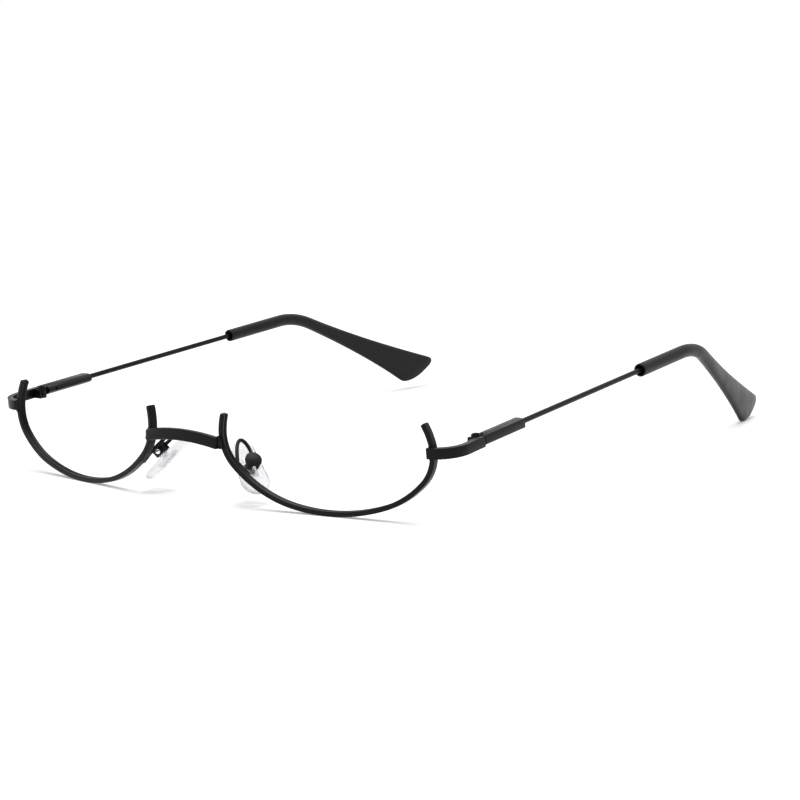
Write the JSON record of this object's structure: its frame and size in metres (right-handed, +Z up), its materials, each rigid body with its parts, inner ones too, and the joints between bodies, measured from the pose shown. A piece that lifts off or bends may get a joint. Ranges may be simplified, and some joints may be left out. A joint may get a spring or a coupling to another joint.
{
  "type": "half-frame eyeglasses",
  "caption": "Open half-frame eyeglasses: wire rims under the lens place, soldered bridge, adjustable nose pads, sprung hinges and wire temples with ear tips.",
  "frame": {"origin": "centre of the bounding box in X and Y, on the table plane under the rims and ear tips", "axes": "+X across the face, towards the right of the picture; +Y from the rims back to the ear tips; +Z up"},
  "size_m": [0.135, 0.1644, 0.026],
  "materials": {
    "frame_metal": "semi-gloss black",
    "screw_steel": "black",
    "bright_steel": "bare",
    "tip_plastic": "satin black",
    "pad_silicone": "clear soft"
  },
  "bodies": {
    "front": {"bridge": "frame_metal", "rim_right": "frame_metal", "end_piece_right": "frame_metal", "hinge_plate_right": "frame_metal", "hinge_screw_right": "screw_steel", "pad_arm_right": "frame_metal", "pad_cup_right": "frame_metal", "pad_screw_right": "bright_steel", "rim_left": "frame_metal", "end_piece_left": "frame_metal", "hinge_plate_left": "frame_metal", "hinge_screw_left": "screw_steel", "pad_arm_left": "frame_metal", "pad_cup_left": "frame_metal", "pad_screw_left": "bright_steel"},
    "slider_right": {"hinge_slider_right": "frame_metal"},
    "temple_right": {"temple_bar_right": "frame_metal", "spring_box_right": "frame_metal", "coil_spring_right": "bright_steel", "guide_pin_right": "screw_steel", "temple_wire_right": "frame_metal", "ear_tip_right": "tip_plastic"},
    "pad_right": {"nose_pad_right": "pad_silicone", "pad_core_right": "bright_steel"},
    "slider_left": {"hinge_slider_left": "frame_metal"},
    "temple_left": {"temple_bar_left": "frame_metal", "spring_box_left": "frame_metal", "coil_spring_left": "bright_steel", "guide_pin_left": "screw_steel", "temple_wire_left": "frame_metal", "ear_tip_left": "tip_plastic"},
    "pad_left": {"nose_pad_left": "pad_silicone", "pad_core_left": "bright_steel"}
  },
  "joints": [
    {"name": "fold_right", "type": "hinge", "parent": "front", "child": "slider_right", "pos_m": [0.0649, -0.06063, 0.01685], "axis": [0, 0, 1], "range_deg": [0, 77]},
    {"name": "spring_right", "type": "slide", "parent": "slider_right", "child": "temple_right", "axis": [-0.0348, 0.9955, 0.088], "range_m": [0, 0.0012], "stiffness_N_per_m": 2500, "springref_m": -0.0008},
    {"name": "pad_rock_right", "type": "hinge", "parent": "front", "child": "pad_right", "pos_m": [0.01374, -0.07311, 0.00921], "axis": [0.4067, 0.9135, 0], "range_deg": [-8, 3]},
    {"name": "fold_left", "type": "hinge", "parent": "front", "child": "slider_left", "pos_m": [-0.0649, -0.06063, 0.01685], "axis": [0, 0, -1], "range_deg": [0, 87]},
    {"name": "spring_left", "type": "slide", "parent": "slider_left", "child": "temple_left", "axis": [0.0348, 0.9955, 0.088], "range_m": [0, 0.0012], "stiffness_N_per_m": 2500, "springref_m": -0.0008},
    {"name": "pad_rock_left", "type": "hinge", "parent": "front", "child": "pad_left", "pos_m": [-0.01374, -0.07311, 0.00921], "axis": [0.4067, -0.9135, 0], "range_deg": [-8, 3]}
  ]
}
